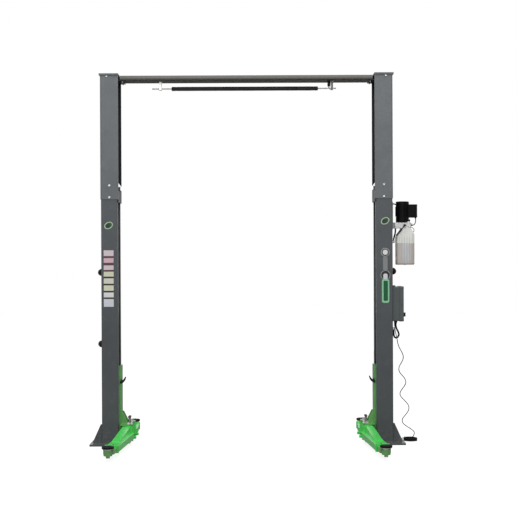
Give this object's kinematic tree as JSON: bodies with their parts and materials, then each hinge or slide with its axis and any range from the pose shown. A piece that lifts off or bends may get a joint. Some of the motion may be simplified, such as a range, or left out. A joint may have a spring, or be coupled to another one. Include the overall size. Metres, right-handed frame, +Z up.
{
  "type": "two post car lift",
  "caption": "Overhead two post car lift: grey columns and beam, green carriages with telescoping swing arms and screw pads, side power unit and control box.",
  "frame": {"origin": "on the floor, midway between the two columns, in the plane of their middles", "axes": "+Z up, +X from the left column to the right column with the power unit, +Y from the camera side to the back"},
  "size_m": [3.3055, 2.0709, 3.72],
  "materials": {
    "graphite_paint": "satin",
    "green_paint": "satin",
    "zinc_steel": "satin",
    "rod_chrome": "polished",
    "black_paint": "satin",
    "black_plastic": "matte",
    "black_rubber": "matte",
    "black_foam": "matte",
    "slide_plastic": "matte",
    "cast_aluminium": "satin",
    "tank_plastic": "satin",
    "box_paint": "satin",
    "bracket_paint": "satin"
  },
  "bodies": {
    "frame": {"base_plates": "graphite_paint", "top_caps": "graphite_paint", "overhead_beam": "graphite_paint", "left_column": "graphite_paint", "right_column": "graphite_paint", "left_extension": "graphite_paint", "right_extension": "graphite_paint", "bar_hangers": "zinc_steel", "limit_switch": "black_plastic", "lock_covers": "black_plastic", "cylinder_rods": "rod_chrome", "power_unit_bracket": "bracket_paint", "power_unit_motor": "black_paint", "motor_terminal_box": "black_plastic", "valve_manifold": "cast_aluminium", "oil_tank": "tank_plastic", "control_box": "box_paint", "control_box_cover": "box_paint", "cable_glands": "black_plastic", "wall_elbows": "zinc_steel", "control_cable": "black_rubber", "hydraulic_hose": "black_rubber", "mains_cord": "black_rubber", "mains_coil": "black_rubber", "mains_plug": "black_plastic"},
    "safety_bar": {"safety_bar": "zinc_steel", "bar_foam": "black_foam"},
    "lowering_lever": {"lowering_lever": "black_plastic"},
    "main_switch": {"main_switch": "black_plastic"},
    "left_carriage": {"left_carriage": "green_paint", "left_slide_blocks": "slide_plastic", "left_cylinder_barrel": "black_paint", "left_carriage_guard": "black_plastic", "left_adapter_hook": "black_plastic", "left_arm_pins": "zinc_steel", "left_arm_restraints": "zinc_steel"},
    "front_left_arm": {"front_left_outer_arm": "green_paint"},
    "front_left_inner_arm": {"front_left_inner_arm": "green_paint"},
    "front_left_pad": {"front_left_pad_screw": "zinc_steel", "front_left_pad_rubber": "black_rubber"},
    "rear_left_arm": {"rear_left_outer_arm": "green_paint"},
    "rear_left_inner_arm": {"rear_left_inner_arm": "green_paint"},
    "rear_left_pad": {"rear_left_pad_screw": "zinc_steel", "rear_left_pad_rubber": "black_rubber"},
    "right_carriage": {"right_carriage": "green_paint", "right_slide_blocks": "slide_plastic", "right_cylinder_barrel": "black_paint", "right_carriage_guard": "black_plastic", "right_adapter_hook": "black_plastic", "right_arm_pins": "zinc_steel", "right_arm_restraints": "zinc_steel"},
    "front_right_arm": {"front_right_outer_arm": "green_paint"},
    "front_right_inner_arm": {"front_right_inner_arm": "green_paint"},
    "front_right_pad": {"front_right_pad_screw": "zinc_steel", "front_right_pad_rubber": "black_rubber"},
    "rear_right_arm": {"rear_right_outer_arm": "green_paint"},
    "rear_right_inner_arm": {"rear_right_inner_arm": "green_paint"},
    "rear_right_pad": {"rear_right_pad_screw": "zinc_steel", "rear_right_pad_rubber": "black_rubber"}
  },
  "joints": [
    {"name": "left_lift", "type": "slide", "parent": "frame", "child": "left_carriage", "axis": [0, 0, 1], "range_m": [0, 1.5]},
    {"name": "right_lift", "type": "slide", "parent": "frame", "child": "right_carriage", "axis": [0, 0, 1], "range_m": [0, 1.5]},
    {"name": "front_left_arm_swing", "type": "hinge", "parent": "left_carriage", "child": "front_left_arm", "pos_m": [-1.195, -0.13, 0.126], "axis": [0, 0, 1], "range_deg": [0, 94]},
    {"name": "front_left_arm_extend", "type": "slide", "parent": "front_left_arm", "child": "front_left_inner_arm", "axis": [0.0698, 0.9976, 0], "range_m": [-0.45, 0]},
    {"name": "front_left_pad_height", "type": "slide", "parent": "front_left_inner_arm", "child": "front_left_pad", "axis": [0, 0, 1], "range_m": [0, 0.04]},
    {"name": "rear_left_arm_swing", "type": "hinge", "parent": "left_carriage", "child": "rear_left_arm", "pos_m": [-1.195, 0.13, 0.126], "axis": [0, 0, -1], "range_deg": [0, 92]},
    {"name": "rear_left_arm_extend", "type": "slide", "parent": "rear_left_arm", "child": "rear_left_inner_arm", "axis": [0.0349, -0.9994, 0], "range_m": [-0.28, 0]},
    {"name": "rear_left_pad_height", "type": "slide", "parent": "rear_left_inner_arm", "child": "rear_left_pad", "axis": [0, 0, 1], "range_m": [0, 0.04]},
    {"name": "front_right_arm_swing", "type": "hinge", "parent": "right_carriage", "child": "front_right_arm", "pos_m": [1.195, -0.13, 0.126], "axis": [0, 0, -1], "range_deg": [0, 94]},
    {"name": "front_right_arm_extend", "type": "slide", "parent": "front_right_arm", "child": "front_right_inner_arm", "axis": [-0.0698, 0.9976, 0], "range_m": [-0.45, 0]},
    {"name": "front_right_pad_height", "type": "slide", "parent": "front_right_inner_arm", "child": "front_right_pad", "axis": [0, 0, 1], "range_m": [0, 0.04]},
    {"name": "rear_right_arm_swing", "type": "hinge", "parent": "right_carriage", "child": "rear_right_arm", "pos_m": [1.195, 0.13, 0.126], "axis": [0, 0, 1], "range_deg": [0, 92]},
    {"name": "rear_right_arm_extend", "type": "slide", "parent": "rear_right_arm", "child": "rear_right_inner_arm", "axis": [-0.0349, -0.9994, 0], "range_m": [-0.28, 0]},
    {"name": "rear_right_pad_height", "type": "slide", "parent": "rear_right_inner_arm", "child": "rear_right_pad", "axis": [0, 0, 1], "range_m": [0, 0.04]},
    {"name": "safety_bar_tilt", "type": "hinge", "parent": "frame", "child": "safety_bar", "pos_m": [-0.88, 0, 3.582], "axis": [0, -1, 0], "range_deg": [0, 1]},
    {"name": "lever_press", "type": "hinge", "parent": "frame", "child": "lowering_lever", "pos_m": [1.582, -0.14, 2.1885], "axis": [0, -1, 0], "range_deg": [0, 20], "stiffness_Nm_per_rad": 2, "springref_deg": -17.19},
    {"name": "main_switch_turn", "type": "hinge", "parent": "frame", "child": "main_switch", "pos_m": [1.572, -0.04, 1.29], "axis": [1, 0, 0], "range_deg": [0, 90]}
  ],
  "couplings": [
    {"joint": "right_lift", "follows": "left_lift", "ratio": 1}
  ]
}
